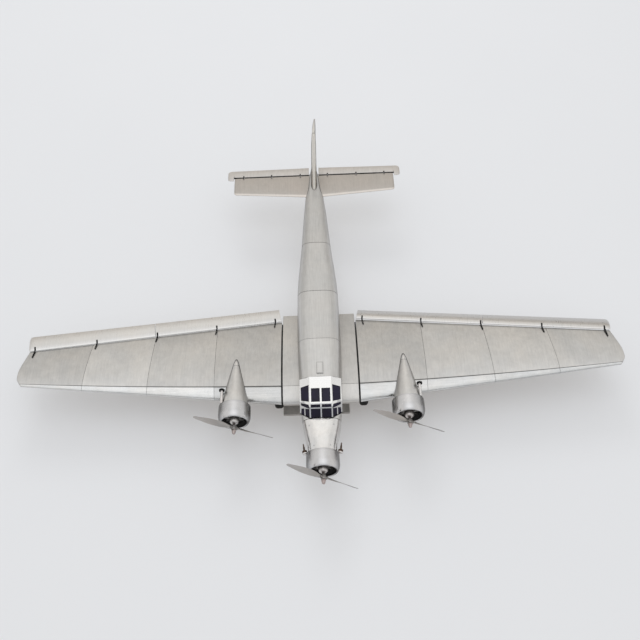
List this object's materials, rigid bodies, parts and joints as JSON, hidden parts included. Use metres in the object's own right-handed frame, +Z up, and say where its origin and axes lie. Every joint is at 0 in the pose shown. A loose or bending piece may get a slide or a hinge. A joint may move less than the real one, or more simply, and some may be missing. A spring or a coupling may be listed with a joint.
{
  "type": "propeller transport aeroplane display model",
  "caption": "Low-wing display model of a multi-engined transport aeroplane in sheet aluminium, with turning propellers, hinged flaps, ailerons, elevators and rudder, and a wall foot.",
  "frame": {"origin": "on the back face of the wall foot, on the aircraft's centre plane and in the middle of the bar's width: the wall_face mount", "axes": "+X along the wing to the aircraft's left (port) side, +Y aft along the fuselage, +Z up through the canopy"},
  "size_m": [0.9094, 0.6354, 0.1821],
  "materials": {
    "brushed_skin": "brushed sheet, grain along the chord on wings and along the length on the fuselage",
    "polished_skin": "polished",
    "satin_cowl": "satin, spun",
    "propeller_metal": "brushed casting",
    "steel_tube": "satin",
    "engine_dark": "semi-matt moulding",
    "black_parts": "semi-matt black paint",
    "glazing": "dark tinted gloss",
    "tyre_rubber": "matt moulded",
    "grey_foot": "matt grey paint"
  },
  "bodies": {
    "airframe": {"nose_fairing": "polished_skin", "cabin_shell": "brushed_skin", "aft_shell": "brushed_skin", "tail_cone": "brushed_skin", "canopy_frame": "polished_skin", "canopy_glazing": "glazing", "roof_hatch": "brushed_skin", "wing_centre": "brushed_skin", "spar_front": "steel_tube", "spar_rear": "steel_tube", "belly_foot": "grey_foot", "stabilizer": "brushed_skin", "fin": "brushed_skin", "wing_outer_port": "brushed_skin", "leading_edge_port": "polished_skin", "joint_rib_port": "black_parts", "nacelle_port": "satin_cowl", "gear_leg_port": "steel_tube", "gear_brace_port": "steel_tube", "exhaust_wing_port": "black_parts", "exhaust_nose_port": "black_parts", "hinge_arms_port": "black_parts", "tail_hinge_arms_port": "black_parts", "wing_outer_stbd": "brushed_skin", "leading_edge_stbd": "polished_skin", "joint_rib_stbd": "black_parts", "nacelle_stbd": "satin_cowl", "gear_leg_stbd": "steel_tube", "gear_brace_stbd": "steel_tube", "exhaust_wing_stbd": "black_parts", "exhaust_nose_stbd": "black_parts", "hinge_arms_stbd": "black_parts", "tail_hinge_arms_stbd": "black_parts", "engine_nose": "engine_dark", "cowl_nose": "satin_cowl", "engine_port": "engine_dark", "cowl_port": "satin_cowl", "engine_stbd": "engine_dark", "cowl_stbd": "satin_cowl", "rudder_pin": "steel_tube"},
    "propeller_nose_body": {"propeller_nose": "propeller_metal", "propeller_shaft_nose": "steel_tube"},
    "propeller_port_body": {"propeller_port": "propeller_metal", "propeller_shaft_port": "steel_tube"},
    "propeller_stbd_body": {"propeller_stbd": "propeller_metal", "propeller_shaft_stbd": "steel_tube"},
    "flap_port_body": {"flap_port": "polished_skin"},
    "aileron_port_body": {"aileron_port": "polished_skin"},
    "wheel_port_body": {"tyre_port": "tyre_rubber", "wheel_hub_port": "satin_cowl"},
    "flap_stbd_body": {"flap_stbd": "polished_skin"},
    "aileron_stbd_body": {"aileron_stbd": "polished_skin"},
    "wheel_stbd_body": {"tyre_stbd": "tyre_rubber", "wheel_hub_stbd": "satin_cowl"},
    "elevators_body": {"elevator_port": "brushed_skin", "elevator_stbd": "brushed_skin", "elevator_torque_tube": "steel_tube"},
    "rudder_body": {"rudder": "brushed_skin"},
    "tail_fork_body": {"tail_fork": "steel_tube"},
    "tail_wheel_body": {"tail_wheel": "tyre_rubber"}
  },
  "joints": [
    {"name": "propeller_nose_spin", "type": "hinge", "parent": "airframe", "child": "propeller_nose_body", "pos_m": [0, -0.15156, 0.08313], "axis": [0, -1, 0], "continuous": true},
    {"name": "propeller_port_spin", "type": "hinge", "parent": "airframe", "child": "propeller_port_body", "pos_m": [0.12644, -0.06616, 0.07587], "axis": [0, -1, 0], "continuous": true},
    {"name": "propeller_stbd_spin", "type": "hinge", "parent": "airframe", "child": "propeller_stbd_body", "pos_m": [-0.12644, -0.06616, 0.07587], "axis": [0, -1, 0], "continuous": true},
    {"name": "flap_port_hinge", "type": "hinge", "parent": "airframe", "child": "flap_port_body", "pos_m": [0.16016, 0.12228, 0.06092], "axis": [-0.9885, 0.1398, -0.0584], "range_deg": [-18, 22]},
    {"name": "flap_stbd_hinge", "type": "hinge", "parent": "airframe", "child": "flap_stbd_body", "pos_m": [-0.16016, 0.12228, 0.06092], "axis": [-0.9885, -0.1398, 0.0584], "range_deg": [0, 40]},
    {"name": "aileron_port_hinge", "type": "hinge", "parent": "airframe", "child": "aileron_port_body", "pos_m": [0.34422, 0.09625, 0.0718], "axis": [-0.9885, 0.1398, -0.0584], "range_deg": [-43, 7]},
    {"name": "aileron_stbd_hinge", "type": "hinge", "parent": "airframe", "child": "aileron_stbd_body", "pos_m": [-0.34422, 0.09625, 0.0718], "axis": [-0.9885, -0.1398, 0.0584], "range_deg": [-25, 25]},
    {"name": "elevator_hinge", "type": "hinge", "parent": "airframe", "child": "elevators_body", "pos_m": [0, 0.41647, 0.09625], "axis": [-1, 0, 0], "range_deg": [-25, 25]},
    {"name": "rudder_hinge", "type": "hinge", "parent": "airframe", "child": "rudder_body", "pos_m": [0, 0.44219, 0.10187], "axis": [0.0349, 0, 0.9994], "range_deg": [-25, 35]},
    {"name": "wheel_port_spin", "type": "hinge", "parent": "airframe", "child": "wheel_port_body", "pos_m": [0.06488, 0.01281, 0.02531], "axis": [1, 0, 0], "continuous": true},
    {"name": "wheel_stbd_spin", "type": "hinge", "parent": "airframe", "child": "wheel_stbd_body", "pos_m": [-0.06488, 0.01281, 0.02531], "axis": [1, 0, 0], "continuous": true},
    {"name": "tail_fork_swivel", "type": "hinge", "parent": "airframe", "child": "tail_fork_body", "pos_m": [0, 0.37438, 0.07219], "axis": [0, 0, 1], "continuous": true},
    {"name": "tail_wheel_spin", "type": "hinge", "parent": "tail_fork_body", "child": "tail_wheel_body", "pos_m": [0, 0.37812, 0.06438], "axis": [1, 0, 0], "continuous": true}
  ]
}
